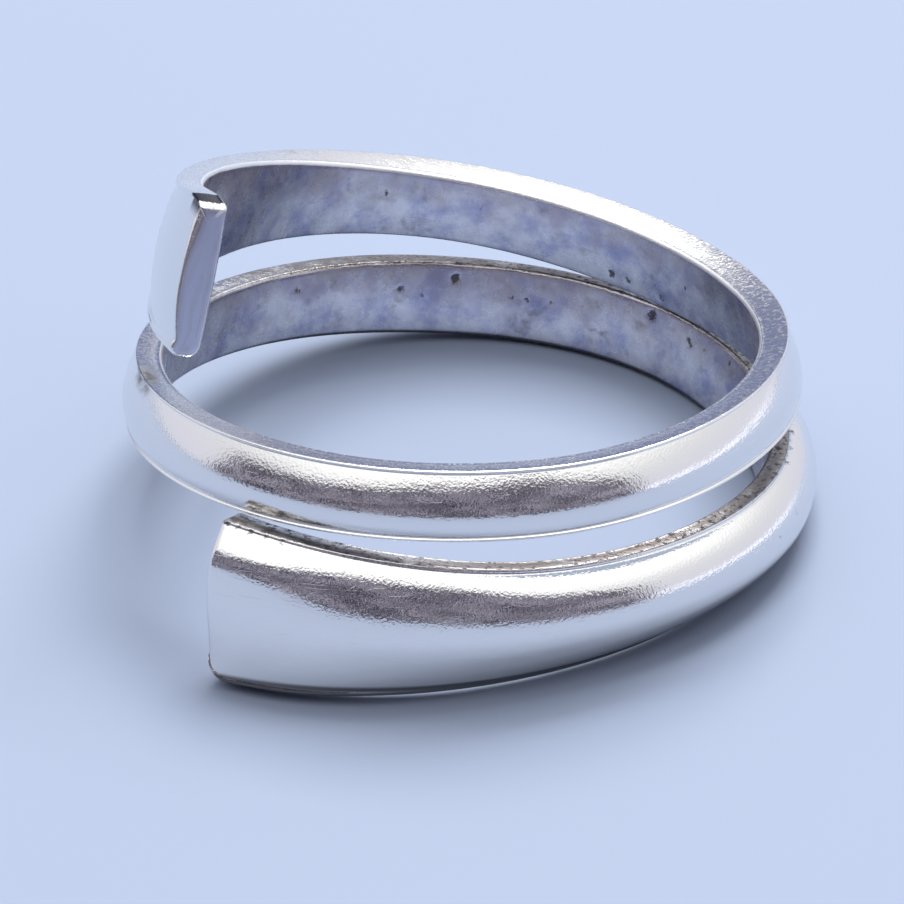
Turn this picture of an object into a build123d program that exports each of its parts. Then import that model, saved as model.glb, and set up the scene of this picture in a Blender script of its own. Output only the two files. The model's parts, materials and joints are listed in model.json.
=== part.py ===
"""A silver wrap ring: one strip, flat inside and domed outside, wound almost twice round the finger hole.

The strip is narrow in the middle of its length and flares into a blunt paddle at each end.
Lengths are in millimetres. +Z is up from the surface that the ring lies on, -Y is the side that faces
the viewer, and the origin is on the surface below the middle of the ring.
"""

from build123d import *
from collections import namedtuple
from math import cos, degrees, radians, sin
import os

os.makedirs("parts", exist_ok=True)

# The finger hole, an 18 mm ring size taken across its middle.
inner_radius = 9.0

# The strip. Its thickness is from the flat inside to the top of the dome, and its rim is the flat along each edge.
band_thickness = 1.3
paddle_width = 5.0
edge_bevel = 0.1

# The winding, counted clockwise seen from above, from the upper end to the lower end.
start_turn = 51
whole_turn = 708
wrap_rise = 8.8

# Each end springs out a little from the round over the last part of its length.
upper_spring = 0.8
lower_spring = 0.2
spring_share = 0.07

# How the strip changes along its length, in equal steps from the upper end to the lower end.
# radius is a share of inner_radius, height of wrap_rise, width of paddle_width, and thickness and rim of
# band_thickness. lean is how far the top of the strip leans in over the finger hole, in degrees.
Step = namedtuple("Step", "radius height width thickness rim lean")
steps = [
    Step(radius=0.95, height=0.98, width=0.88, thickness=0.77, rim=0.6, lean=13),
    Step(radius=0.88, height=0.84, width=0.62, thickness=0.7, rim=0.52, lean=9),
    Step(radius=0.92, height=0.69, width=0.46, thickness=0.77, rim=0.7, lean=15),
    Step(radius=0.945, height=0.572, width=0.475, thickness=0.78, rim=0.72, lean=15),
    Step(radius=0.965, height=0.56, width=0.385, thickness=0.81, rim=0.6, lean=15),
    Step(radius=0.98, height=0.46, width=0.405, thickness=0.81, rim=0.6, lean=9),
    Step(radius=0.99, height=0.385, width=0.42, thickness=0.79, rim=0.55, lean=6),
    Step(radius=0.995, height=0.34, width=0.415, thickness=0.77, rim=0.56, lean=4.5),
    Step(radius=0.995, height=0.325, width=0.455, thickness=0.88, rim=0.6, lean=-1),
    Step(radius=0.99, height=0.308, width=0.452, thickness=1.02, rim=0.4, lean=-2.5),
    Step(radius=0.99, height=0.17, width=0.52, thickness=1.16, rim=0.4, lean=-3.5),
    Step(radius=0.93, height=0.03, width=0.64, thickness=0.98, rim=0.4, lean=-1),
    Step(radius=1.075, height=0, width=0.965, thickness=1, rim=0.68, lean=5),
]
sections_per_step = 4


def along(name, share):
    """The named column of the table at a share of the strip's length, as a smooth curve through its rows."""
    rows = [getattr(step, name) for step in steps]
    last = len(rows) - 1
    place = min(max(share * last, 0.0), last - 1e-9)
    row = int(place)
    f = place - row
    b, c = rows[row], rows[row + 1]
    a = rows[row - 1] if row > 0 else 2 * b - c
    d = rows[row + 2] if row + 2 <= last else 2 * c - b
    return b + 0.5 * f * (c - a + f * (2 * a - 5 * b + 4 * c - d + f * (3 * (b - c) + d - a)))


def centre_line(share):
    """The middle of the strip's inside face, in the ring's own frame with its axis upright."""
    turn = radians(start_turn + whole_turn * share)
    radius = inner_radius * along("radius", share)
    radius += upper_spring * max(1 - share / spring_share, 0) ** 2
    radius += lower_spring * max(1 - (1 - share) / spring_share, 0) ** 2
    return Vector(-radius * sin(turn), -radius * cos(turn), wrap_rise * along("height", share))


def section_plane(share):
    """The plane across the strip: its x points out of the ring, its y up the strip's width."""
    small = 1e-4
    ahead = centre_line(min(share + small, 1)) - centre_line(max(share - small, 0))
    ahead = ahead.normalized()
    turn = radians(start_turn + whole_turn * share)
    out = Vector(-sin(turn), -cos(turn), 0)
    out = (out - ahead * out.dot(ahead)).normalized()
    up = ahead.cross(out)
    lean = radians(along("lean", share))
    return Plane(origin=centre_line(share), x_dir=out * cos(lean) + up * sin(lean), z_dir=ahead)


def section_points(share):
    """The corners of the strip's section, from the inside face round its top edge, the dome and its bottom edge."""
    half = paddle_width * along("width", share) / 2
    rim = band_thickness * along("rim", share)
    full = band_thickness * along("thickness", share)
    b = edge_bevel
    return [
        (0, -half + b),
        (0, half - b),
        (b, half),
        (rim - b, half),
        (rim, half - b),
        (full, 0),
        (rim, -half + b),
        (rim - b, -half),
        (b, -half),
    ]


count = sections_per_step * (len(steps) - 1)
shares = [i / count for i in range(count + 1)]

with BuildPart() as wound:
    for share in shares:
        with BuildSketch(section_plane(share)):
            p = section_points(share)
            with BuildLine():
                Polyline(p[6], p[7], p[8], p[0], p[1], p[2], p[3], p[4])
                ThreePointArc(p[4], p[5], p[6])
            make_face()
    loft()


def turned(point, back, side):
    """A point after the ring is tipped back about X and then to one side about Y, in radians."""
    y = point.Y * cos(back) - point.Z * sin(back)
    z = point.Y * sin(back) + point.Z * cos(back)
    return point.X * cos(side) + z * sin(side), y, z * cos(side) - point.X * sin(side)


def hang(back, side):
    """The height of the ring's centre of mass above its lowest point in that pose."""
    low = min(turned(point, back, side)[2] for point in touching)
    return turned(mass_centre, back, side)[2] - low


# The ring lies as it settles by itself: from upright it tips the way its centre of mass can sink, until it can't.
mass_centre = wound.part.center(CenterOf.MASS)
touching = []
for i in range(4 * count + 1):
    plane = section_plane(i / (4 * count))
    touching += [plane.from_local_coords(point) for point in section_points(i / (4 * count))]
back, side, stride = 0.0, 0.0, radians(2)
while stride > radians(0.005):
    tries = [(back + i * stride, side + j * stride) for i in (-1, 0, 1) for j in (-1, 0, 1)]
    best = min(tries, key=lambda angles: hang(*angles))
    if hang(*best) < hang(back, side) - 1e-9:
        back, side = best
    else:
        stride /= 2
print("tipped back", round(degrees(back), 2), "and sideways", round(degrees(side), 2))

with BuildPart() as band:
    add(wound.part.rotate(Axis.X, degrees(back)).rotate(Axis.Y, degrees(side)))
    bounds = band.part.bounding_box()
    band.part = band.part.translate((-bounds.center().X, -bounds.center().Y, -bounds.min.Z))
band.part.label = "band"
export_step(band.part, "parts/band.step")
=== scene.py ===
"""The wrap ring's looks: one silver strip wound almost twice round the finger hole, on a plain pale floor.

The strip is grown by Geometry Nodes from a short table of rows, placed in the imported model's box, and given a
worn silver finish. All lengths are in metres. +Z is up, -Y faces the viewer.
"""

import json
from collections import namedtuple
from math import asin, atan2, cos, pi, radians, sin

import bpy
from mathutils import Matrix, Vector


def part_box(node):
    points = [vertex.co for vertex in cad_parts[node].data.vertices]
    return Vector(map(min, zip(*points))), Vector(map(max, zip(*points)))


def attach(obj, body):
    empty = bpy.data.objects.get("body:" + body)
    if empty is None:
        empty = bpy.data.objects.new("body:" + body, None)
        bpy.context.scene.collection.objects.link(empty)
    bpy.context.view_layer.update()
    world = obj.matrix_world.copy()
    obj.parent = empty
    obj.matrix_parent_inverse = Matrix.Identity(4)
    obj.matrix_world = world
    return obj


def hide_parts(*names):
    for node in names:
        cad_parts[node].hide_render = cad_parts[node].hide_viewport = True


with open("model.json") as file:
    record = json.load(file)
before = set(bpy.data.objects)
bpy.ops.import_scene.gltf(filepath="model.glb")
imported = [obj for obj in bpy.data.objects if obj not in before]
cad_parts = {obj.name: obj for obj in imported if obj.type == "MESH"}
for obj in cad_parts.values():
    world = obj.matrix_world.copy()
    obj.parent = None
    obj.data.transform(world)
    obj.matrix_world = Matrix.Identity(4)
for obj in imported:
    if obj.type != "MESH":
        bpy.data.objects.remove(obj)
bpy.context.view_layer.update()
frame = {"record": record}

bl_info = {
    "name": "Wrap Ring",
    "version": (1, 0, 0),
    "blender": (4, 5, 0),
    "location": "View3D > Sidebar > Wrap Ring",
    "description": "Builds a domed silver wrap ring, its worn finish and a plain studio round it",
    "category": "Object",
}

MM = 0.001

# How the strip changes along its length, in equal steps from the upper end to the lower end.
# radius is a share of the inner radius, height of the wrap's rise, width of the paddle's width, and thickness
# and rim of the strip's thickness. lean is how far the strip's top leans in over the hole, in degrees.
# skew is how far the middle of the dome is turned up from the lean, in degrees. tarnish is how stained the
# rims are, and past 1 they are grimy too.
Step = namedtuple("Step", "radius height width thickness rim lean skew tarnish")
STEPS = [
    Step(radius=0.95, height=0.98, width=0.88, thickness=0.77, rim=0.6, lean=13, skew=0, tarnish=0),
    Step(radius=0.88, height=0.84, width=0.62, thickness=0.7, rim=0.52, lean=9, skew=0, tarnish=0.05),
    Step(radius=0.92, height=0.69, width=0.46, thickness=0.77, rim=0.7, lean=15, skew=0, tarnish=0.1),
    Step(radius=0.945, height=0.572, width=0.475, thickness=0.78, rim=0.72, lean=15, skew=2, tarnish=0.1),
    Step(radius=0.965, height=0.56, width=0.385, thickness=0.81, rim=0.6, lean=15, skew=6, tarnish=0.05),
    Step(radius=0.98, height=0.46, width=0.405, thickness=0.81, rim=0.6, lean=9, skew=8, tarnish=0),
    Step(radius=0.99, height=0.385, width=0.42, thickness=0.79, rim=0.55, lean=6, skew=8, tarnish=0.05),
    Step(radius=0.995, height=0.34, width=0.415, thickness=0.77, rim=0.56, lean=4.5, skew=4, tarnish=0.12),
    Step(radius=0.995, height=0.325, width=0.455, thickness=0.88, rim=0.6, lean=-1, skew=0, tarnish=0.8),
    Step(radius=0.99, height=0.308, width=0.452, thickness=1.02, rim=0.4, lean=-2.5, skew=0, tarnish=0.8),
    Step(radius=0.99, height=0.17, width=0.52, thickness=1.16, rim=0.4, lean=-3.5, skew=0, tarnish=0.9),
    Step(radius=0.93, height=0.03, width=0.64, thickness=0.98, rim=0.4, lean=-1, skew=1, tarnish=0.9),
    Step(radius=1.075, height=0, width=0.965, thickness=1, rim=0.68, lean=5, skew=-10, tarnish=1.3),
]

# Stretches of the strip where a form fades in, from where it is nothing to where it is full, measured from
# the end that they name, or as shares of the length. The rise to the cut corner starts at its run-up.
WORN_CORNER_FROM_UPPER = (2.5 * MM, 0.0)
CUT_RUN_UP_FROM_UPPER = 4.5 * MM
RIDGE_FROM_LOWER = (4.0 * MM, 0.5 * MM)
KEEL_FROM_LOWER = (17.0 * MM, 12.0 * MM)
KEEL_END_FROM_LOWER = (0.3 * MM, 2.5 * MM)
THIN_LIP_SHARES = (0.6, 0.64)

# Places where the finish changes, along the strip from its upper end.
DARKENED_PATCH = 60.3 * MM
LOWER_TURN = (64.0 * MM, 72.0 * MM)


class Tree:
    """A node tree under construction, with short calls for the nodes that it uses most."""

    def __init__(self, tree):
        self.tree = tree

    def put(self, socket, value):
        """Feeds a socket from another socket, or sets it to a plain value."""
        if isinstance(value, bpy.types.NodeSocket):
            self.tree.links.new(value, socket)
        else:
            socket.default_value = value

    def node(self, kind, values=None, **settings):
        """A node with its settings made and its named or numbered inputs fed."""
        made = self.tree.nodes.new(kind)
        for name, value in settings.items():
            setattr(made, name, value)
        for name, value in (values or {}).items():
            self.put(made.inputs[name], value)
        return made

    def math(self, operation, *values):
        return self.node("ShaderNodeMath", dict(enumerate(values)), operation=operation).outputs[0]

    def add(self, first, *others):
        for other in others:
            first = self.math("ADD", first, other)
        return first

    def times(self, first, *others):
        for other in others:
            first = self.math("MULTIPLY", first, other)
        return first

    def minus(self, a, b):
        return self.math("SUBTRACT", a, b)

    def over(self, a, b):
        return self.math("DIVIDE", a, b)

    def most(self, first, *others):
        """The largest of its values."""
        for other in others:
            first = self.math("MAXIMUM", first, other)
        return first

    def least(self, a, b):
        return self.math("MINIMUM", a, b)

    def off(self, value, centre):
        """How far a value is from a centre, either way."""
        return self.math("ABSOLUTE", self.minus(value, centre))

    def arch(self, value):
        """A round arch: 1 where the value is 0, and 0 where it is 1 or -1."""
        return self.minus(1.0, self.times(value, value))

    def bell(self, value, centre, spread):
        """A smooth bump: 1 at the centre, and near 0 from two spreads away."""
        away = self.over(self.minus(value, centre), spread)
        return self.math("EXPONENT", self.times(away, away, -1.0))

    def ramp(self, value, start, end):
        """A smooth rise from 0 where the value is at the start to 1 where it is at the end."""
        values = {"Value": value, "From Min": start, "From Max": end}
        return self.node("ShaderNodeMapRange", values, interpolation_type="SMOOTHSTEP").outputs["Result"]

    def vector(self, operation, a, b=None, scale=None):
        values = {0: a}
        if b is not None:
            values[1] = b
        if scale is not None:
            values["Scale"] = scale
        made = self.node("ShaderNodeVectorMath", values, operation=operation)
        return made.outputs["Value" if operation in ("DOT_PRODUCT", "DISTANCE") else "Vector"]

    def combine(self, x, y, z):
        return self.node("ShaderNodeCombineXYZ", {0: x, 1: y, 2: z}).outputs[0]

    def axes(self, vector):
        """The three parts of a vector."""
        return self.node("ShaderNodeSeparateXYZ", {0: vector}).outputs

    def mix(self, factor, a, b):
        """Two colours, mixed from a to b as the factor goes from 0 to 1."""
        made = self.node("ShaderNodeMix", {0: factor}, data_type="RGBA")
        self.put(made.inputs[6], a)
        self.put(made.inputs[7], b)
        return made.outputs[2]

    def noise(self, place, scale, detail, roughness=0.5):
        values = {"Vector": place, "Scale": scale, "Detail": detail, "Roughness": roughness}
        return self.node("ShaderNodeTexNoise", values).outputs[0]

    def attribute(self, name, kind="FLOAT"):
        """What the points hold under a name: a number or a vector."""
        if self.tree.bl_idname == "GeometryNodeTree":
            made = self.node("GeometryNodeInputNamedAttribute", {"Name": name}, data_type=kind)
            return made.outputs["Attribute"]
        made = self.node("ShaderNodeAttribute", attribute_name=name)
        return made.outputs["Fac" if kind == "FLOAT" else "Vector"]

    def store(self, geometry, name, value, kind="FLOAT"):
        """The geometry with a value stored on its points under a name."""
        values = {"Geometry": geometry, "Name": name}
        made = self.node("GeometryNodeStoreNamedAttribute", values, data_type=kind, domain="POINT")
        self.put(made.inputs["Value"], value)
        return made.outputs["Geometry"]

    def sample(self, geometry, value, index, kind="FLOAT"):
        """The value that a field has at one point of another geometry."""
        values = {"Geometry": geometry, "Index": index}
        made = self.node("GeometryNodeSampleIndex", values, data_type=kind, clamp=True)
        self.put(made.inputs["Value"], value)
        return made.outputs["Value"]

    def point_count(self, geometry):
        made = self.node("GeometryNodeAttributeDomainSize", {0: geometry}, component="MESH")
        return made.outputs["Point Count"]

    def object_geometry(self, made):
        return self.node("GeometryNodeObjectInfo", {"Object": made}).outputs["Geometry"]

    def group(self, group, **values):
        """The outputs of a node group whose inputs have these values."""
        kind = "GeometryNodeGroup" if group.bl_idname == "GeometryNodeTree" else "ShaderNodeGroup"
        return self.node(kind, values, node_tree=group).outputs


def new_tree(name, kind, inputs, outputs):
    """An empty node group with its named sockets, its input node and its output node."""
    tree = bpy.data.node_groups.new(name, kind)
    for label, socket, default in inputs:
        made = tree.interface.new_socket(label, in_out="INPUT", socket_type="NodeSocket" + socket)
        if default is not None:
            made.default_value = default
    for label, socket in outputs:
        tree.interface.new_socket(label, in_out="OUTPUT", socket_type="NodeSocket" + socket)
    build = Tree(tree)
    return build, build.node("NodeGroupInput").outputs, build.node("NodeGroupOutput").inputs


def number_inputs(names):
    """Inputs of a node group that are plain numbers."""
    return [(name, "Float", 0.0) for name in names]


def smooth_column_group():
    """The value of one column of the table at a share of its length, as a smooth curve through its rows."""
    t, given, result = new_tree(
        "smooth column",
        "GeometryNodeTree",
        [("Table", "Geometry", None), *number_inputs(["Column", "Share"])],
        [("Value", "Float")],
    )
    last = t.minus(t.point_count(given["Table"]), 3.0)
    place = t.least(t.most(t.times(given["Share"], last), 0.0), t.minus(last, 1e-6))
    row = t.math("FLOOR", place)
    f = t.minus(place, row)
    a, b, c, d = (t.sample(given["Table"], given["Column"], t.add(row, float(i))) for i in range(4))
    cubic = t.add(t.times(t.minus(b, c), 3.0), t.minus(d, a))
    square = t.add(t.minus(t.times(a, 2.0), t.times(b, 5.0)), t.minus(t.times(c, 4.0), d))
    slope = t.add(t.minus(c, a), t.times(f, t.add(square, t.times(f, cubic))))
    t.put(result["Value"], t.add(b, t.times(f, slope, 0.5)))
    return t.tree


LINE_SIZES = [
    "Inner radius", "Wrap rise", "Start turn", "Whole turn", "Upper spring", "Lower spring", "Spring share"
]


def centre_line_group(smooth_column):
    """The middle of the strip's inside face at a share of its length, and the way out of the ring there."""
    t, given, result = new_tree(
        "centre line",
        "GeometryNodeTree",
        [("Table", "Geometry", None), *number_inputs(["Share", *LINE_SIZES])],
        [("Position", "Vector"), ("Outwards", "Vector")],
    )
    share = given["Share"]

    def column(name):
        return t.group(smooth_column, Table=given["Table"], Column=t.attribute(name), Share=share)[0]

    turn = t.add(given["Start turn"], t.times(given["Whole turn"], share))
    x = t.times(t.math("SINE", turn), -1.0)
    y = t.times(t.math("COSINE", turn), -1.0)
    radius = t.times(given["Inner radius"], column("radius"))
    for spring, way in (("Upper spring", share), ("Lower spring", t.minus(1.0, share))):
        near = t.most(t.minus(1.0, t.over(way, given["Spring share"])), 0.0)
        radius = t.add(radius, t.times(given[spring], t.times(near, near)))
    height = t.times(given["Wrap rise"], column("height"))
    t.put(result["Position"], t.combine(t.times(radius, x), t.times(radius, y), height))
    t.put(result["Outwards"], t.combine(x, y, 0.0))
    return t.tree


# The strip's outline across, as stations from the inside face round the top rim, the dome and the bottom rim.
# across is a share of half the width, rim of the rim, and dome of the dome's height there. inset_x and
# inset_y are shares of the edge's rounding, out of the ring and up the width. flange is the share of the lip
# along each outer edge. skin is 0 on the inside, 1 on a rim, 2 on the dome.
Station = namedtuple("Station", "across rim dome inset_x inset_y flange skin")
INSIDE, RIM, DOME = 0, 1, 2
RIM_SHARES = (0.03, 0.06, 0.1, 0.15, 0.25, 0.4, 0.6, 0.8)

# The rounding of the lip, where the dome starts beside it, and how far the flank between them rises, all as
# shares of the edge's rounding.
LIP = 0.6
DOME_START = 1.25
FLANK_RISE = 0.25


def section_stations(inside_cuts=22, dome_cuts=30, corner_cuts=5, flank_cuts=3):
    """The stations, evenly spread over each face and each rounded corner."""
    upper = []
    for i in range(corner_cuts + 1):
        angle = pi / 2 * i / corner_cuts
        upper.append(Station(1, 0, 0, 1 - cos(angle), sin(angle) - 1, 0, INSIDE + i / corner_cuts))
    for share in RIM_SHARES:
        upper.append(Station(1, share, 0, 1 - (1 + LIP) * share, 0, share, RIM))
    for i in range(corner_cuts + 1):
        angle = pi / 2 * i / corner_cuts
        inset_x, inset_y = LIP * (sin(angle) - 1), LIP * (cos(angle) - 1)
        upper.append(Station(1, 1, 0, inset_x, inset_y, 1, RIM + i / corner_cuts))
    for i in range(1, flank_cuts):
        share = i / flank_cuts
        inset_y = -LIP - (DOME_START - LIP) * share
        upper.append(Station(1, 1, 0, FLANK_RISE * share, inset_y, 1 - share, DOME))
    lower = [s._replace(across=-s.across, inset_y=-s.inset_y) for s in reversed(upper)]
    dome = []
    for i in range(1, dome_cuts):
        across = cos(pi * i / dome_cuts)
        dome.append(Station(across, 1, 1, 0, -DOME_START * across, 0, DOME))
    inside = []
    for i in range(1, inside_cuts):
        across = 2 * i / inside_cuts - 1
        inside.append(Station(across, 0, 0, 0, -across, 0, INSIDE))
    return upper + dome + lower + inside


# Dents and pits, by their place: share of the strip's length, across it from its middle and out from the
# inside face. All but the share are in millimetres.
Mark = namedtuple("Mark", "share across out radius depth")
MARKS = [Mark(*row) for row in (
    (0.6397, 0.53, 0, 0.11, 0.025),
    (0.6708, 0.32, 0, 0.12, 0.03),
    (0.6766, 0.14, 0, 0.08, 0.025),
    (0.6858, 0.68, 0, 0.17, 0.05),
    (0.7016, 0.27, 0, 0.09, 0.02),
    (0.706, 0.22, 0, 0.1, 0.015),
    (0.713, 0.3, 0, 0.09, 0.015),
    (0.7216, 0.35, 0, 0.06, 0.025),
    (0.7436, 0.8, 0, 0.17, 0.05),
    (0.7572, 0.66, 0, 0.09, 0.03),
    (0.7584, 0.5, 0, 0.12, 0.035),
    (0.7642, 0.66, 0, 0.08, 0.015),
    (0.775, 0.85, 0, 0.08, 0.02),
    (0.1529, 0.38, 0, 0.11, 0.02),
    (0.1827, 0.32, 0, 0.07, 0.02),
    (0.2205, -0.42, 0, 0.06, 0.01),
    (0.2238, -0.7, 0, 0.14, 0.03),
    (0.2292, -0.68, 0, 0.11, 0.035),
    (0.2406, -0.8, 0, 0.1, 0.035),
    (0.2507, 0.05, 0, 0.08, 0.02),
    (0.806, 1.15, 0.62, 0.08, 0.012),
    (0.8098, 1.12, 0.66, 0.06, 0.01),
    (0.8137, 1.17, 0.6, 0.13, 0.012),
    (0.8182, 1.2, 0.58, 0.07, 0.01),
    (0.822, 1.16, 0.62, 0.1, 0.012),
    (0.8262, 1.22, 0.52, 0.06, 0.01),
    (0.8294, 1.2, 0.58, 0.12, 0.012),
    (0.8335, 1.24, 0.5, 0.06, 0.01),
    (0.8378, 1.26, 0.48, 0.1, 0.012),
    (0.8424, 1.26, 0.46, 0.05, 0.01),
    (0.8465, 1.27, 0.46, 0.1, 0.012),
    (0.852, 1.27, 0.45, 0.06, 0.01),
    (0.815, 1.26, 0.28, 0.09, 0.01),
    (0.825, 1.3, 0.24, 0.1, 0.01),
    (0.84, 1.28, 0.27, 0.09, 0.01),
    (0.8414, 0.5, 1.35, 0.07, 0.01),
    (0.8506, 0.33, 1.4, 0.07, 0.01),
    (0.998, 2.3, 0.86, 0.09, 0.006),
    (0.9955, 2.3, 0.9, 0.07, 0.006),
    (0.9925, 2.27, 0.92, 0.09, 0.006),
    (0.9888, 2.23, 0.9, 0.08, 0.006),
    (0.985, 2.19, 0.88, 0.09, 0.006),
    (0.56, 1.05, 0.68, 0.09, 0.03),
    (0.5652, 1.05, 0.64, 0.07, 0.03),
    (0.57, 1.04, 0.68, 0.06, 0.02),
    (0.5552, 1.05, 0.66, 0.06, 0.02),
)]


def rows_mesh(name, rows, places=None):
    """A mesh with one loose point a row and one attribute a column."""
    mesh = bpy.data.meshes.new(name)
    mesh.from_pydata(places or [(i * MM, 0, 0) for i in range(len(rows))], [], [])
    for column in rows[0]._fields:
        values = mesh.attributes.new(column, "FLOAT", "POINT")
        values.data.foreach_set("value", [float(getattr(row, column)) for row in rows])
    return mesh


def beyond(row, next_row):
    """The row that carries a table on past its end in a straight line."""
    return Step(*(2 * a - b for a, b in zip(row, next_row)))


def straight_tube(t, rows, stations):
    """A straight tube with closed ends, which gives the faces. Its points move to their places later."""
    rail = t.node("GeometryNodeMeshLine", {"Count": rows, "Offset": (0, 0, MM)}, mode="OFFSET").outputs[0]
    rail = t.node("GeometryNodeMeshToCurve", {"Mesh": rail}).outputs[0]
    loop = t.node("GeometryNodeCurvePrimitiveCircle", {"Resolution": stations, "Radius": MM}).outputs[0]
    values = {"Curve": rail, "Profile Curve": loop, "Fill Caps": True}
    tube = t.node("GeometryNodeCurveToMesh", values).outputs[0]
    return t.node("GeometryNodeFlipFaces", {"Mesh": tube}).outputs[0]


def spread_rows(t, row, last_row, end_share):
    """Each row's share of the length, with rows crowded round each end, and how far it has closed the end.

    closing is 0 on the strip, 1 where its edge has turned over into the end face, and 2 within that face.
    """
    end_rows, easing = 9.0, 30.0
    from_end = t.least(row, t.minus(last_row, row))
    turned = t.least(t.over(t.most(t.minus(from_end, 1.0), 0.0), end_rows - 1.0), 1.0)
    angle = t.times(turned, pi / 2)
    closing = t.add(t.minus(1.0, t.math("SINE", angle)), t.math("LESS_THAN", from_end, 0.5))
    step = t.over(t.minus(1.0, t.times(end_share, 2.0)), t.minus(last_row, 2.0 * end_rows + easing))
    past = t.most(t.minus(from_end, end_rows), 0.0)
    early = t.least(past, easing)
    eased = t.add(t.over(t.times(early, early), 2.0 * easing), t.minus(past, early))
    near = t.add(t.times(end_share, t.minus(1.0, t.math("COSINE", angle))), t.times(step, eased))
    far = t.math("GREATER_THAN", row, t.times(last_row, 0.5))
    share = t.add(t.times(near, t.minus(1.0, far)), t.times(t.minus(1.0, near), far))
    return share, closing


def leant_frame(t, line_at, share, lean):
    """Where a row stands, and its ways out of the ring and up the strip once it has leant."""
    small = 1e-4
    here = line_at(share)
    before = line_at(t.most(t.minus(share, small), 0.0))["Position"]
    after = line_at(t.least(t.add(share, small), 1.0))["Position"]
    ahead = t.vector("NORMALIZE", t.vector("SUBTRACT", after, before))
    lost = t.vector("SCALE", ahead, scale=t.vector("DOT_PRODUCT", here["Outwards"], ahead))
    out = t.vector("NORMALIZE", t.vector("SUBTRACT", here["Outwards"], lost))
    up = t.vector("CROSS_PRODUCT", ahead, out)
    cosine, sine = t.math("COSINE", lean), t.math("SINE", lean)
    out_leant = t.vector("ADD", t.vector("SCALE", out, scale=cosine), t.vector("SCALE", up, scale=sine))
    up_leant = t.vector("SUBTRACT", t.vector("SCALE", up, scale=cosine), t.vector("SCALE", out, scale=sine))
    return here["Position"], out_leant, up_leant


SECTION_SIZES = ["Thickness", "Edge rounding", "Inside crown", "Rim crown", "Flange", "Burr", "End ridge"]


def section_outline(t, given, column, station, half, share, to_upper, to_lower):
    """The strip's own outline: how far a point stands out from the inside face, and up from the middle."""
    full = t.times(given["Thickness"], column("thickness"))
    rim = t.times(given["Thickness"], column("rim"))
    across = station("across")
    worn = t.times(t.ramp(to_upper, *WORN_CORNER_FROM_UPPER), t.ramp(across, 0.0, -0.9))
    corner = t.times(given["Edge rounding"], t.add(1.0, t.times(worn, 2.2)))
    y = t.add(t.times(across, half), t.times(station("inset_y"), corner))

    # The dome is a round arc, turned up by the skew, with a low ridge by the lower end.
    sag, chord = t.minus(full, rim), t.minus(half, corner)
    dome_radius = t.over(t.add(t.times(chord, chord), t.times(sag, sag)), t.times(sag, 2.0))
    dome = t.math("SQRT", t.most(t.minus(t.times(dome_radius, dome_radius), t.times(y, y)), 0.0))
    dome = t.minus(dome, t.minus(dome_radius, sag))
    side = t.over(y, half)
    turned_up = t.times(t.math("TANGENT", t.math("RADIANS", column("skew"))), half)
    dome = t.minus(dome, t.times(turned_up, t.times(side, t.arch(side))))
    ridge = t.times(t.bell(side, 0.6, 0.25), given["End ridge"], t.ramp(to_lower, *RIDGE_FROM_LOWER))
    x = t.add(t.times(station("rim"), rim), t.times(station("dome"), t.add(dome, ridge)))
    x = t.add(x, t.times(station("inset_x"), corner))

    # The lip along the outer edges thins to a fifth on the lower turn's top, and to nothing at its bottom.
    thinned = t.add(0.8, t.times(t.math("LESS_THAN", across, 0.0), 0.2))
    kept = t.minus(1.0, t.times(thinned, t.ramp(share, *THIN_LIP_SHARES)))
    x = t.add(x, t.times(station("flange"), given["Flange"], kept))
    burr = t.times(t.bell(x, corner, 0.05 * MM), given["Burr"])
    y = t.add(y, t.times(burr, t.math("GREATER_THAN", across, 0.9)))

    # The inside face and the rims are crowned a little.
    crown = t.times(given["Inside crown"], t.arch(t.over(y, half)))
    x = t.minus(x, t.times(crown, t.ramp(station("skin"), 1.0, 0.0)))
    over_rim = t.minus(t.over(t.times(x, 2.0), rim), 1.0)
    rim_crown = t.times(t.most(t.arch(over_rim), 0.0), given["Rim crown"])
    return x, t.add(y, t.times(rim_crown, t.math("SIGN", y))), full


END_SIZES = ["End rounding", "Keel", "Paddle corner", "Cut corner rise", "Cut corner length"]


def shaped_ends(t, given, y, half, lower_half, to_upper, to_lower):
    """The height up the strip once each end has its form.

    The lower end's bottom corner is rounded off, and the lower edge before it is fuller. The upper end's top
    corner rises and is then cut off slanting.
    """
    corner = given["Paddle corner"]
    into = t.most(t.minus(corner, to_lower), 0.0)
    lost = t.minus(corner, t.math("SQRT", t.minus(t.times(corner, corner), t.times(into, into))))
    y = t.times(y, t.minus(1.0, t.times(lower_half, t.over(lost, half))))
    keel = t.times(t.ramp(to_lower, *KEEL_FROM_LOWER), t.ramp(to_lower, *KEEL_END_FROM_LOWER))
    keel = t.times(keel, t.ramp(t.over(y, half), -0.3, -1.0), given["Keel"])
    y = t.minus(y, keel)
    rise, cut = given["Cut corner rise"], given["Cut corner length"]
    lift = t.times(t.ramp(to_upper, CUT_RUN_UP_FROM_UPPER, cut), rise)
    drop = t.times(t.most(t.minus(1.0, t.over(to_upper, cut)), 0.0), rise)
    return t.add(y, t.times(t.minus(lift, drop), t.most(t.over(y, half), 0.0)))


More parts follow.
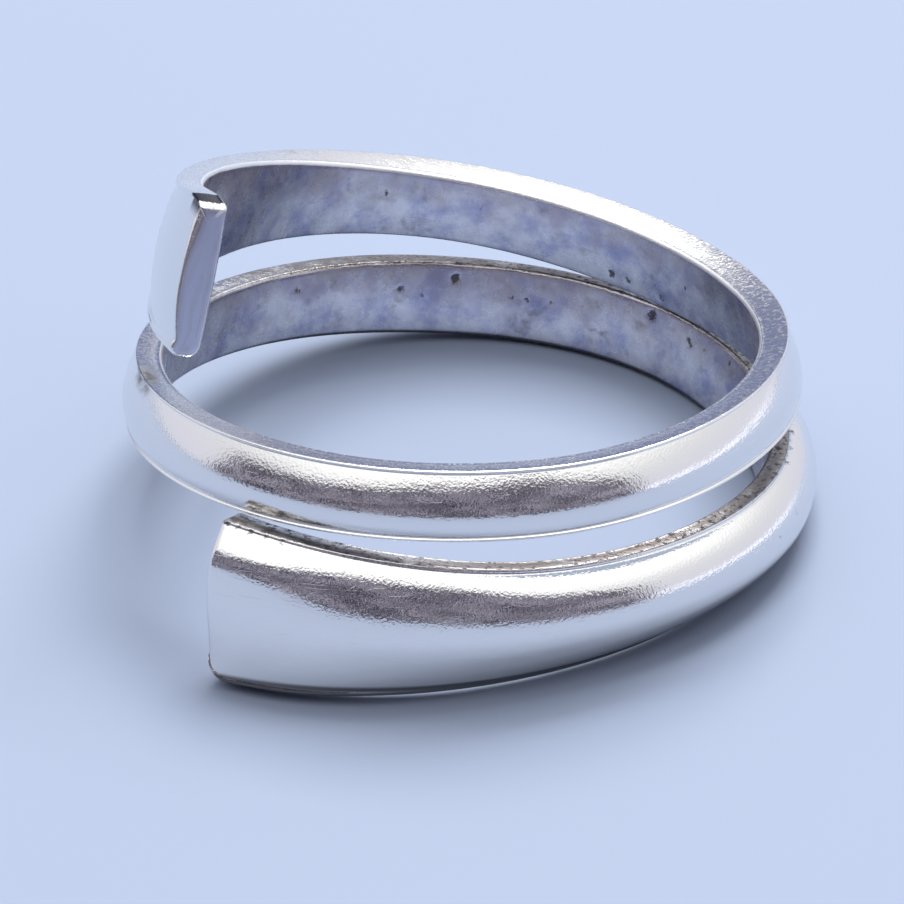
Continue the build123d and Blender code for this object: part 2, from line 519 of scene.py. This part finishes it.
def knocked(t, given, tube):
    """The strip shaped by hand, so that no face is quite even, and knocked and pitted since."""
    place = t.node("GeometryNodeInputPosition").outputs[0]
    normal = t.node("GeometryNodeInputNormal").outputs[0]
    inside = t.ramp(t.attribute("skin"), 0.6, 0.0)
    waves = t.times(t.minus(t.noise(place, 260.0, 1.0), 0.5), t.minus(1.0, t.times(inside, 0.5)))
    hammered = t.times(t.minus(t.noise(place, 750.0, 1.0), 0.5), t.times(inside, 1.2))
    push = t.times(t.add(waves, hammered), given["Unevenness"])

    marks = t.object_geometry(given["Marks"])
    spot = t.attribute("strip", "FLOAT_VECTOR")
    nearest = t.node("GeometryNodeSampleNearest", {"Geometry": marks, "Sample Position": spot}).outputs[0]
    centre = t.sample(marks, place, nearest, "FLOAT_VECTOR")
    radius = t.times(t.sample(marks, t.attribute("radius"), nearest), MM)
    depth = t.times(t.sample(marks, t.attribute("depth"), nearest), MM)
    away = t.vector("DISTANCE", spot, centre)
    tube = t.store(tube, "mark", t.least(t.over(t.minus(away, radius), MM), 1.0))
    ragged = t.add(0.1, t.times(t.noise(place, 7000.0, 3.0), 1.8))
    pit = t.ramp(t.over(t.times(away, ragged), radius), 1.0, 0.5)
    offset = t.vector("SCALE", normal, scale=t.minus(push, t.times(depth, pit)))
    return t.node("GeometryNodeSetPosition", {"Geometry": tube, "Offset": offset}).outputs[0]


def seated(t, given, tube):
    """The strip tipped as it lies, and set in the middle of its box, down on the floor."""
    tube = t.node("GeometryNodeTransform", {"Geometry": tube, "Rotation": given["Lie"]}).outputs[0]
    box = t.node("GeometryNodeBoundBox", {"Geometry": tube}).outputs
    low, high = t.axes(box["Min"]), t.axes(box["Max"])
    middle = [t.times(t.add(low[axis], high[axis]), 0.5) for axis in (0, 1)]
    shift = t.vector("SUBTRACT", given["Seat"], t.combine(*middle, low[2]))
    return t.node("GeometryNodeTransform", {"Geometry": tube, "Translation": shift}).outputs[0]


def wound_strip_group():
    """The whole strip: rows along, stations across, wound round the hole, tipped as it lies and seated."""
    t, given, result = new_tree(
        "wound strip",
        "GeometryNodeTree",
        [
            ("Table", "Geometry", None),
            ("Section", "Object", None),
            ("Marks", "Object", None),
            *number_inputs([*LINE_SIZES, "Paddle width", *SECTION_SIZES, *END_SIZES, "Unevenness"]),
            ("Rows", "Int", 1000),
            ("Lie", "Vector", None),
            ("Seat", "Vector", None),
            ("Silver", "Material", None),
        ],
        [("Strip", "Geometry")],
    )
    smooth_column = smooth_column_group()
    centre_line = centre_line_group(smooth_column)
    section = t.object_geometry(given["Section"])
    stations = t.point_count(section)
    tube = straight_tube(t, given["Rows"], stations)
    index = t.node("GeometryNodeInputIndex").outputs[0]
    row = t.math("FLOOR", t.over(t.add(index, 0.5), stations))
    station_index = t.minus(index, t.times(row, stations))

    def station(name):
        return t.sample(section, t.attribute(name), station_index)

    def column(name):
        return t.group(smooth_column, Table=given["Table"], Column=t.attribute(name), Share=share)[0]

    def line_at(where):
        sizes = {name: given[name] for name in LINE_SIZES}
        return t.group(centre_line, Table=given["Table"], Share=where, **sizes)

    # The edge round each end face is worn most at the top.
    length = t.times(given["Inner radius"], given["Whole turn"])
    top = t.times(t.ramp(station("across"), 0.1, 1.0), t.ramp(station("skin"), 0.0, 1.2))
    end_rounding = t.times(given["End rounding"], t.add(1.0, t.times(top, 1.8)))
    last_row = t.minus(given["Rows"], 1.0)
    share, closing = spread_rows(t, row, last_row, t.over(end_rounding, length))
    to_upper, to_lower = t.times(share, length), t.times(t.minus(1.0, share), length)

    # The section's outline, drawn in towards each end face, then stood up on the centre line.
    half = t.times(given["Paddle width"], column("width"), 0.5)
    x, y, full = section_outline(t, given, column, station, half, share, to_upper, to_lower)
    inset = t.times(end_rounding, closing)
    x = t.add(inset, t.times(x, t.over(t.minus(full, t.times(inset, 2.0)), full)))
    y = t.times(y, t.over(t.minus(half, inset), half))
    lower_half = t.math("GREATER_THAN", 0.0, station("across"))
    y = shaped_ends(t, given, y, half, lower_half, to_upper, to_lower)
    here, out, up = leant_frame(t, line_at, share, t.math("RADIANS", column("lean")))
    point = t.vector("ADD", here, t.vector("SCALE", out, scale=x))
    point = t.vector("ADD", point, t.vector("SCALE", up, scale=y))

    # What the finish reads: the face that a point is on, how far it is into an end face, how stained the rims
    # are there, its height from -1 to 1, whether it is on the slanting cut, whose dark is a painted reflection,
    # and its place along, up and out.
    facet = t.math("GREATER_THAN", given["Cut corner length"], to_upper)
    facet = t.times(facet, t.ramp(station("across"), 0.8, 0.99), t.ramp(closing, 0.3, 0.0))
    tube = t.store(tube, "skin", station("skin"))
    tube = t.store(tube, "cut", closing)
    tube = t.store(tube, "stain", column("tarnish"))
    tube = t.store(tube, "side", t.over(y, half))
    tube = t.store(tube, "facet", facet)
    tube = t.store(tube, "strip", t.combine(to_upper, y, x), "FLOAT_VECTOR")
    tube = t.node("GeometryNodeSetPosition", {"Geometry": tube, "Position": point}).outputs[0]
    tube = seated(t, given, knocked(t, given, tube))
    tube = t.node("GeometryNodeSetShadeSmooth", {"Geometry": tube, "Shade Smooth": True}).outputs[0]
    tube = t.node("GeometryNodeRealizeInstances", {"Geometry": tube}).outputs[0]
    tube = t.node("GeometryNodeSetMaterial", {"Geometry": tube, "Material": given["Silver"]}).outputs[0]
    t.put(result["Strip"], tube)
    return t.tree


# The finish groups take their sizes in millimetres.


def grain_group():
    """Fine uneven grain in a surface: its height, from 0 to 1."""
    t, given, result = new_tree(
        "silver grain",
        "ShaderNodeTree",
        [("Vector", "Vector", None), ("Size", "Float", 0.1), ("Detail", "Float", 2.0)],
        [("Height", "Float")],
    )
    scale = t.over(1.0, t.times(given["Size"], MM))
    t.put(result["Height"], t.noise(given["Vector"], scale, given["Detail"]))
    return t.tree


def scratches_group():
    """Hair-fine scratches that run one way along the strip, broken up so that none is endless."""
    t, given, result = new_tree(
        "hair scratches",
        "ShaderNodeTree",
        [
            ("Strip", "Vector", None),
            ("Spacing", "Float", 0.06),
            ("Length", "Float", 1.5),
            ("Turn", "Float", 0.0),
            ("Amount", "Float", 0.4),
        ],
        [("Mask", "Float")],
    )
    turned = {"Vector": given["Strip"], "Angle": given["Turn"]}
    turned = t.node("ShaderNodeVectorRotate", turned, rotation_type="Z_AXIS").outputs[0]
    along, across = (t.over(1.0, t.times(given[name], MM)) for name in ("Length", "Spacing"))
    lines = t.noise(t.vector("MULTIPLY", turned, t.combine(along, across, 1.0)), 1.0, 1.0)
    patches = t.noise(given["Strip"], 600.0, 1.0)
    level = t.minus(0.86, t.times(given["Amount"], t.times(patches, 0.6)))
    t.put(result["Mask"], t.ramp(lines, level, t.add(level, 0.05)))
    return t.tree


def stain_group():
    """Patches where tarnish has settled, more of them as the spread goes from 0 to 1."""
    t, given, result = new_tree(
        "tarnish patches",
        "ShaderNodeTree",
        [
            ("Vector", "Vector", None),
            ("Size", "Float", 1.0),
            ("Spread", "Float", 0.5),
            ("Softness", "Float", 0.1),
        ],
        [("Mask", "Float")],
    )
    scale = t.over(1.0, t.times(given["Size"], MM))
    noise = t.noise(given["Vector"], scale, 4.0, roughness=0.65)
    edge = t.minus(0.8, t.times(given["Spread"], 0.6))
    mask = t.ramp(noise, t.minus(edge, given["Softness"]), t.add(edge, given["Softness"]))
    t.put(result["Mask"], mask)
    return t.tree


# A spot of the surface: its place, its place along, up and out on the strip, its height from -1 to 1, how
# stained the rims are there, which face it is on, and masks of the four kinds of face.
Surface = namedtuple("Surface", "place strip along up out side stain skin inside rim dome face")


def strip_surface(t):
    """The surface as the strip's stored values describe it."""
    strip, skin = t.attribute("strip", "FLOAT_VECTOR"), t.attribute("skin")
    inside = t.ramp(skin, 0.6, 0.2)
    dome = t.ramp(skin, 1.35, 1.7)
    rim = t.minus(t.minus(1.0, inside), dome)
    face = t.ramp(t.attribute("cut"), 0.6, 1.0)
    inside, rim, dome = (t.times(zone, t.minus(1.0, face)) for zone in (inside, rim, dome))
    along, up, out = t.axes(strip)
    place = t.node("ShaderNodeTexCoord").outputs["Object"]
    side, stain = t.attribute("side"), t.attribute("stain")
    return Surface(place, strip, along, up, out, side, stain, skin, inside, rim, dome, face)


def blackening(t, s, patches, grain):
    """Where the silver is blackened: in specks and smudges, in grimy lumps on the rims, and in the dents and
    pits. One patch on the left is darkened too.
    """
    clouds = patches(1.6, 0.45, 0.15)
    specks = t.times(patches(0.3, 0.16, 0.06), clouds, t.add(t.times(s.inside, 0.5), s.rim))
    grit = t.add(0.25, t.least(s.stain, 0.8))
    grit = t.times(patches(0.16, 0.4, 0.07), grit, t.times(s.rim, 0.85))
    smudges = t.times(patches(0.7, 0.3, 0.12), clouds, t.times(s.inside, 0.6))
    specks = t.most(t.times(specks, 0.6), grit, smudges)

    # Grimy lumps lie on the outer half of the lower end's rim, and the same lumps darken one patch on the left.
    lumps = t.add(0.35, t.times(patches(0.4, 0.52, 0.1), 0.6))
    end_grime = t.times(t.ramp(s.stain, 1.0, 1.25), t.ramp(s.out, 0.3 * MM, 0.6 * MM), s.rim)
    patch = t.ramp(t.off(s.along, DARKENED_PATCH), 1.0 * MM, 0.35 * MM)
    patch = t.times(patch, t.ramp(s.out, 0.2 * MM, 0.55 * MM), t.ramp(s.up, 0.5 * MM, 0.85 * MM))
    specks = t.most(specks, t.times(lumps, t.most(end_grime, patch)))

    torn = t.times(t.minus(grain(0.13, 4.0), 0.5), 0.3)
    marks = t.ramp(t.add(t.attribute("mark"), torn), 0.02, -0.06)
    return t.most(specks, t.times(marks, 0.7)), marks


def silver_colour(t, s, finish, patches, on_rims, specks, marks, worn_line_and_highlight):
    """The silver with a cool film and warm clouds on the inside, stained rims and blackened specks, painted
    shade along the lower turn's bottom edge, a facet painted dark as a painted reflection, and a painted
    highlight on the worn top inner edge.
    """
    silver, film, cloud, tarnish, soot_and_shade = (
        (*shade, 1.0) for shade in (finish.silver, finish.film, finish.cloud, finish.tarnish, finish.soot_and_shade)
    )
    filmed = t.times(s.inside, t.add(0.25, t.times(patches(1.1, 0.42, 0.18), 0.7)))
    colour = t.mix(t.most(filmed, t.times(s.face, 0.6)), silver, film)
    upper = t.ramp(s.side, -0.5, 0.9)
    warmth = patches(1.0, t.add(0.2, t.times(upper, 0.42)), 0.25)
    warmth = t.most(warmth, t.times(t.ramp(s.side, 0.72, 0.92), 0.9))
    colour = t.mix(t.times(warmth, t.times(s.inside, 0.7)), colour, cloud)
    colour = t.mix(t.times(on_rims, t.times(s.rim, 0.93)), colour, tarnish)
    colour = t.mix(t.times(specks, 0.85), colour, soot_and_shade)
    colour = t.mix(t.times(marks, 0.6), colour, soot_and_shade)
    # Painted shade: the lower turn's bottom edge is darkened, standing in for the shade under it.
    bottom_edge_shade = t.times(t.ramp(s.side, -0.87, -0.93), t.ramp(s.along, *LOWER_TURN))
    # Painted reflection: the slanting cut's facet is painted near black for the dark that it mirrors.
    colour = t.mix(t.most(t.attribute("facet"), t.times(bottom_edge_shade, 0.8)), colour, soot_and_shade)
    # Painted highlight: the worn top inner edge is lightened towards clean silver.
    return t.mix(t.times(worn_line_and_highlight, 0.8), colour, silver)


def silver_sheen(t, s, finish, grain, on_rims, specks, hairs, worn_line_and_highlight):
    """How rough each face is: more where it is stained or scratched, and less along its worn edges."""
    wear = t.minus(grain(0.6, 3.0), 0.5)
    rough = t.times(s.dome, t.add(finish.polish, t.times(wear, 0.12)))
    rough = t.add(rough, t.times(s.inside, t.add(finish.satin, t.times(wear, 0.25))))
    rough = t.add(rough, t.times(s.rim, t.add(finish.rim, t.times(on_rims, 0.16))))
    rough = t.add(rough, t.times(s.face, finish.satin))
    rough = t.add(rough, t.add(t.times(hairs, 0.08), t.times(specks, 0.4)))
    edge = t.most(*(t.ramp(t.off(s.skin, between), 0.45, 0.2) for between in (0.5, 1.5)))
    rough = t.times(rough, t.minus(1.0, t.times(edge, 0.5)))
    return t.add(rough, t.times(worn_line_and_highlight, 0.3))


def silver_relief(t, s, grain, specks, hairs):
    """The height of the surface in microns: grain and swells on each face, less the scratches and specks."""
    fine = t.add(t.times(s.dome, 5.5), t.times(s.inside, 1.6), t.times(s.rim, 8.0))
    swells = t.add(t.times(s.dome, 3.0), t.times(s.inside, 3.0), t.times(s.rim, 7.0))
    relief = t.add(t.times(grain(0.075, 1.0), fine), t.times(grain(0.35, 2.0), swells))
    return t.minus(relief, t.add(t.times(hairs, 1.2), t.times(specks, 6.0)))


def silver_material(finish):
    """Worn silver: polished on the dome, satin on the inside and rims, with stains, grain and scratches."""
    material = bpy.data.materials.new("worn silver")
    material.use_nodes = True
    t = Tree(material.node_tree)
    shader = material.node_tree.nodes["Principled BSDF"]
    grains, scratches, stains = grain_group(), scratches_group(), stain_group()
    s = strip_surface(t)

    def grain(size, detail):
        return t.group(grains, Vector=s.place, Size=size, Detail=detail)[0]

    def patches(size, spread, softness):
        return t.group(stains, Vector=s.place, Size=size, Spread=spread, Softness=softness)[0]

    def hair(spacing, length, turn, amount):
        return t.group(scratches, Strip=s.strip, Spacing=spacing, Length=length, Turn=turn, Amount=amount)[0]

    # The inner half of the lower end's rim is cleaner than the rest of it.
    clean = t.times(t.ramp(s.stain, 0.92, 1.1), t.ramp(s.out, 0.55 * MM, 0.3 * MM))
    on_rims = t.times(patches(0.9, t.least(s.stain, 0.8), 0.22), t.minus(1.0, t.times(clean, 0.75)))
    specks, marks = blackening(t, s, patches, grain)
    hairs = t.most(hair(0.05, 1.6, 0.05, 0.5), hair(0.05, 0.9, 0.7, 0.38), hair(0.06, 0.7, 2.1, 0.36))
    hairs = t.times(hairs, t.add(s.inside, s.dome))

    # The top inner edge of the upper turn is worn, and its colour is lightened there as a painted highlight.
    worn_line_and_highlight = t.times(t.ramp(t.off(s.skin, 0.55), 0.45, 0.3), t.ramp(s.side, 0.8, 0.9))
    worn_line_and_highlight = t.times(worn_line_and_highlight, t.minus(1.0, t.ramp(s.along, *LOWER_TURN)))

    shader.inputs["Metallic"].default_value = 1.0
    colour = silver_colour(t, s, finish, patches, on_rims, specks, marks, worn_line_and_highlight)
    rough = silver_sheen(t, s, finish, grain, on_rims, specks, hairs, worn_line_and_highlight)
    t.put(shader.inputs["Base Color"], colour)
    t.put(shader.inputs["Roughness"], rough)
    relief = silver_relief(t, s, grain, specks, hairs)
    bump = t.node("ShaderNodeBump", {"Strength": 1.0, "Distance": 0.001 * MM, "Height": relief})
    t.put(shader.inputs["Normal"], bump.outputs[0])
    return material


def studio_world(studio):
    """Walls of soft white light all round, brightest above, with the room's dim side towards the viewer.

    All angles are in degrees. azimuth is 0 towards the viewer and 90 towards the viewer's right.
    """
    world = bpy.data.worlds.new("studio")
    world.use_nodes = True
    t = Tree(world.node_tree)
    direction = t.node("ShaderNodeTexCoord").outputs["Generated"]
    x, y, z = t.axes(direction)
    azimuth = t.math("DEGREES", t.math("ARCTAN2", x, t.times(y, -1.0)))
    elevation = t.math("DEGREES", t.math("ARCSINE", z))

    # The walls, with a low glint on the right and a darker cool stretch behind.
    glint = t.times(t.ramp(elevation, 7.0, 4.0), t.ramp(azimuth, 50.0, 60.0), t.ramp(azimuth, 140.0, 110.0))
    level = t.add(studio.sides, t.times(t.ramp(elevation, 25.0, 60.0), studio.overhead - studio.sides))
    level = t.add(level, t.times(glint, 0.5))
    low_wall, high_wall, dark_wall = (0.84, 0.86, 1.0, 1.0), (0.97, 0.98, 1.0, 1.0), (0.15, 0.18, 0.34, 1.0)
    walls = t.mix(t.ramp(elevation, 0.0, 45.0), low_wall, high_wall)
    walls = t.vector("SCALE", walls, scale=level)
    turned = t.add(azimuth, t.times(t.math("LESS_THAN", azimuth, 0.0), 360.0))
    behind = t.times(t.ramp(turned, 173.0, 181.0), t.ramp(turned, 230.0, 205.0))
    walls = t.mix(t.times(behind, t.ramp(elevation, 33.0, 27.0)), walls, dark_wall)

    # The dim side reaches 47 degrees up, and slopes down to the left and to the right. It is blotchy.
    left = t.most(t.minus(-10.0, azimuth), 0.0)
    right = t.most(t.minus(azimuth, 25.0), 0.0)
    top = t.minus(47.0, t.add(t.times(left, 0.28), t.times(right, right, 0.015)))
    dim = t.times(t.ramp(azimuth, 64.0, 56.0), t.ramp(azimuth, -92.0, -84.0))
    dim = t.times(dim, t.ramp(t.minus(elevation, top), 4.0, -4.0))
    dark_room, lit_room = (0.03, 0.025, 0.05, 1.0), (0.42, 0.4, 0.5, 1.0)
    room = t.mix(t.ramp(t.noise(direction, 13.0, 5.0), 0.42, 0.62), dark_room, lit_room)

    # The camera itself sees a plain pale backdrop past the floor.
    backdrop = (0.6, 0.66, 0.78, 1.0)
    lit = t.node("ShaderNodeBackground", {"Color": t.mix(dim, walls, room), "Strength": 1.0})
    seen = t.node("ShaderNodeBackground", {"Color": backdrop, "Strength": 1.0})
    view = t.node("ShaderNodeLightPath").outputs["Is Camera Ray"]
    mixed = t.node("ShaderNodeMixShader", {0: view, 1: lit.outputs[0], 2: seen.outputs[0]})
    t.put(world.node_tree.nodes["World Output"].inputs["Surface"], mixed.outputs[0])
    return world


def pale_floor(studio, reach=1.5):
    """A plain matt floor that reaches this far each way."""
    corners = [(x * reach, y * reach, 0) for x, y in ((-1, -1), (1, -1), (1, 1), (-1, 1))]
    mesh = bpy.data.meshes.new("floor")
    mesh.from_pydata(corners, [], [(0, 1, 2, 3)])
    material = bpy.data.materials.new("pale floor")
    material.use_nodes = True
    shader = material.node_tree.nodes["Principled BSDF"]
    shader.inputs["Base Color"].default_value = (*studio.floor, 1.0)
    shader.inputs["Roughness"].default_value = 0.7
    shader.inputs["Specular IOR Level"].default_value = 0.2
    mesh.materials.append(material)
    return bpy.data.objects.new("floor", mesh)


def key_softbox(studio, size=0.3, place=(0.07, 0.22, 0.48)):
    """A square softbox above and behind the ring, turned towards it, which gives the soft shadows."""
    light = bpy.data.lights.new("key softbox", "AREA")
    light.shape = "SQUARE"
    light.size = size
    light.energy = studio.key_power
    lamp = bpy.data.objects.new("key softbox", light)
    lamp.location = place
    lamp.rotation_euler = Vector(place).to_track_quat("Z", "Y").to_euler()
    return lamp


def studio_camera(studio):
    """A camera with a long lens, raised above the floor and turned round the ring."""
    camera = bpy.data.cameras.new("camera")
    camera.sensor_width = 36.0
    camera.lens = studio.lens
    camera.clip_start = 0.01
    view = bpy.data.objects.new("camera", camera)
    ahead, raised = cos(studio.elevation), sin(studio.elevation)
    back = Vector((sin(studio.turn) * ahead, -cos(studio.turn) * ahead, raised))
    view.location = Vector(studio.aim) + back * studio.distance
    look = back.to_track_quat("Z", "Y").to_matrix()
    view.rotation_euler = (look @ Matrix.Rotation(studio.roll, 3, "Z")).to_euler()
    return view


def length(name, description, default):
    """A property that is a length."""
    return bpy.props.FloatProperty(
        name=name, description=description, default=default, unit="LENGTH", precision=5
    )


def angle(name, description, degrees):
    """A property that is an angle."""
    return bpy.props.FloatProperty(
        name=name, description=description, default=radians(degrees), unit="ROTATION"
    )


def shade(name, description, default):
    """A property that is a colour."""
    return bpy.props.FloatVectorProperty(
        name=name, description=description, default=default, subtype="COLOR"
    )


def number(name, description, default):
    """A property that is a plain number."""
    return bpy.props.FloatProperty(name=name, description=description, default=default)


class WrapRingSizes(bpy.types.PropertyGroup):
    """The ring's driving sizes. Each feeds the input of the same name in the wound strip's tree."""

    inner_radius: length("Inner radius", "Radius of the finger hole", 9.0 * MM)
    thickness: length("Thickness", "Inside face to the top of the dome", 1.3 * MM)
    paddle_width: length("Paddle width", "Full width of a paddle end", 5.0 * MM)
    edge_rounding: length("Edge rounding", "Radius worn on the long edges", 0.1 * MM)
    end_rounding: length("End rounding", "Radius worn round each end face", 0.09 * MM)
    inside_crown: length("Inside crown", "Rise of the inside face's middle", 0.045 * MM)
    rim_crown: length("Rim crown", "Rise of each rim's middle", 0.022 * MM)
    flange: length("Flange", "Reach of the lip along each outer edge", 0.09 * MM)
    burr: length("Burr", "Rise of the burr along the top inner edge", 0.022 * MM)
    keel: length("Keel", "Fullness of the lower turn's lower edge, near its end", 0.09 * MM)
    end_ridge: length("End ridge", "Rise of the ridge on the lower end", 0.1 * MM)
    paddle_corner: length("Paddle corner", "Radius of the lower end's bottom corner", 0.6 * MM)
    cut_corner_rise: length("Cut corner rise", "Height cut off the upper end's top corner", 0.17 * MM)
    cut_corner_length: length("Cut corner length", "Length cut off the upper end's top corner", 0.7 * MM)
    wrap_rise: length("Wrap rise", "Height from the lower end to the upper", 8.8 * MM)
    start_turn: angle("Start turn", "Where the upper end stands", 51)
    whole_turn: angle("Whole turn", "How far the strip winds", 708)
    upper_spring: length("Upper spring", "How far the upper end springs out", 0.8 * MM)
    lower_spring: length("Lower spring", "How far the lower end springs out", 0.2 * MM)
    spring_share: number("Spring share", "Share of the length that springs out", 0.07)
    unevenness: length("Unevenness", "Depth of the hand-made unevenness", 0.03 * MM)
    rows: bpy.props.IntProperty(name="Rows", description="Rows of faces along the strip", default=1000)


class WrapRingFinish(bpy.types.PropertyGroup):
    """The silver's colours and sheen."""

    silver: shade("Silver", "Colour of clean silver", (0.86, 0.85, 0.83))
    tarnish: shade("Tarnish", "Colour of stained rims", (0.2, 0.175, 0.165))
    film: shade("Film", "Colour of the cool film on the inside", (0.34, 0.36, 0.56))
    cloud: shade("Cloud", "Colour of the warm clouds on the inside", (0.44, 0.37, 0.38))
    # This colour also paints the shade along the lower turn's bottom edge and the dark reflection on the
    # slanting cut's facet.
    soot_and_shade: shade("Soot", "Colour of the blackened specks", (0.05, 0.045, 0.05))
    polish: number("Polish", "Roughness of the dome", 0.11)
    satin: number("Satin", "Roughness of the inside and end faces", 0.27)
    rim: number("Rim", "Roughness of the rims", 0.2)


class WrapRingStudio(bpy.types.PropertyGroup):
    """The floor, lights and camera round the ring."""

    floor: shade("Floor", "Colour of the floor", (0.23, 0.27, 0.36))
    overhead: number("Overhead", "Brightness of the light above", 1.5)
    sides: number("Sides", "Brightness of the walls of light round it", 0.9)
    key_power: bpy.props.FloatProperty(
        name="Key power", description="Power of the softbox that gives the shadows",
        default=4.5, unit="POWER",
    )
    elevation: angle("Elevation", "Camera's angle above the floor", 34.06)
    turn: angle("Turn", "Camera's angle round the ring", 2.84)
    roll: angle("Roll", "Camera's turn about its own line of sight", -0.75)
    distance: length("Distance", "Camera to the point it looks at", 177.4 * MM)
    aim: bpy.props.FloatVectorProperty(
        name="Aim", description="Point that the camera looks at",
        default=(-0.2 * MM, -6.69 * MM, 6.4 * MM), unit="LENGTH",
    )
    lens: number("Lens", "Focal length for a 36 mm frame", 252.15)


def own_properties(group):
    """The properties that a property group adds to the two that every group has."""
    return [made for made in group.bl_rna.properties if made.identifier not in ("rna_type", "name")]


class OBJECT_OT_wrap_ring_strip(bpy.types.Operator):
    """Build the wound silver strip with its worn finish"""

    bl_idname = "object.wrap_ring_strip"
    bl_label = "Wrap Ring Strip"

    def execute(self, context):
        sizes = context.scene.wrap_ring_sizes
        rows = [beyond(STEPS[0], STEPS[1]), *STEPS, beyond(STEPS[-1], STEPS[-2])]
        strip = bpy.data.objects.new("silver_strip", rows_mesh("silver_strip", rows))
        section = bpy.data.objects.new("strip_section", rows_mesh("strip_section", section_stations()))
        length = sizes.inner_radius * sizes.whole_turn
        spots = [(mark.share * length, mark.across * MM, mark.out * MM) for mark in MARKS]
        marks = bpy.data.objects.new("strip_marks", rows_mesh("strip_marks", MARKS, spots))
        for made in (strip, section, marks):
            context.scene.collection.objects.link(made)

        low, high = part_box("band")
        across, away, upright = frame["record"]["mounts"][0]["axis"]
        values = {made.name: getattr(sizes, made.identifier) for made in own_properties(sizes)}
        values["Section"] = section
        values["Marks"] = marks
        values["Lie"] = (-asin(away), atan2(across, upright), 0.0)
        values["Seat"] = ((low.x + high.x) / 2, (low.y + high.y) / 2, low.z)
        values["Silver"] = silver_material(context.scene.wrap_ring_finish)

        modifier = strip.modifiers.new("wound strip", "NODES")
        modifier.node_group = wound_strip_group()
        for item in modifier.node_group.interface.items_tree:
            if item.in_out == "INPUT" and item.name in values:
                modifier[item.identifier] = values[item.name]
        context.view_layer.update()
        finished = strip.evaluated_get(context.evaluated_depsgraph_get())
        mesh = bpy.data.meshes.new_from_object(finished)
        strip.modifiers.remove(modifier)
        strip.data = mesh
        for helper in (section, marks):
            bpy.data.objects.remove(helper)
        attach(strip, "root")
        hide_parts("band")
        return {"FINISHED"}


class SCENE_OT_wrap_ring_stage(bpy.types.Operator):
    """Build the floor, the lights and the camera round the ring"""

    bl_idname = "scene.wrap_ring_stage"
    bl_label = "Wrap Ring Stage"

    def execute(self, context):
        studio = context.scene.wrap_ring_studio
        floor, lamp, camera = pale_floor(studio), key_softbox(studio), studio_camera(studio)
        for made in (floor, lamp, camera):
            context.scene.collection.objects.link(made)
        context.scene.camera = camera
        context.scene.world = studio_world(studio)
        context.scene.view_settings.view_transform = "Standard"
        return {"FINISHED"}


class VIEW3D_PT_wrap_ring(bpy.types.Panel):
    """The ring's sizes, finish and steps"""

    bl_label = "Wrap Ring"
    bl_space_type = "VIEW_3D"
    bl_region_type = "UI"
    bl_category = "Wrap Ring"

    def draw(self, context):
        scene = context.scene
        for group in (scene.wrap_ring_sizes, scene.wrap_ring_finish, scene.wrap_ring_studio):
            box = self.layout.box()
            for made in own_properties(group):
                box.prop(group, made.identifier)
        self.layout.operator(OBJECT_OT_wrap_ring_strip.bl_idname)
        self.layout.operator(SCENE_OT_wrap_ring_stage.bl_idname)


CLASSES = (
    WrapRingSizes,
    WrapRingFinish,
    WrapRingStudio,
    OBJECT_OT_wrap_ring_strip,
    SCENE_OT_wrap_ring_stage,
    VIEW3D_PT_wrap_ring,
)


def register():
    for made in CLASSES:
        bpy.utils.register_class(made)
    bpy.types.Scene.wrap_ring_sizes = bpy.props.PointerProperty(type=WrapRingSizes)
    bpy.types.Scene.wrap_ring_finish = bpy.props.PointerProperty(type=WrapRingFinish)
    bpy.types.Scene.wrap_ring_studio = bpy.props.PointerProperty(type=WrapRingStudio)


def unregister():
    del bpy.types.Scene.wrap_ring_studio
    del bpy.types.Scene.wrap_ring_finish
    del bpy.types.Scene.wrap_ring_sizes
    for made in reversed(CLASSES):
        bpy.utils.unregister_class(made)


def main():
    register()
    bpy.ops.scene.wrap_ring_stage()
    bpy.ops.object.wrap_ring_strip()


if __name__ == "__main__":
    main()
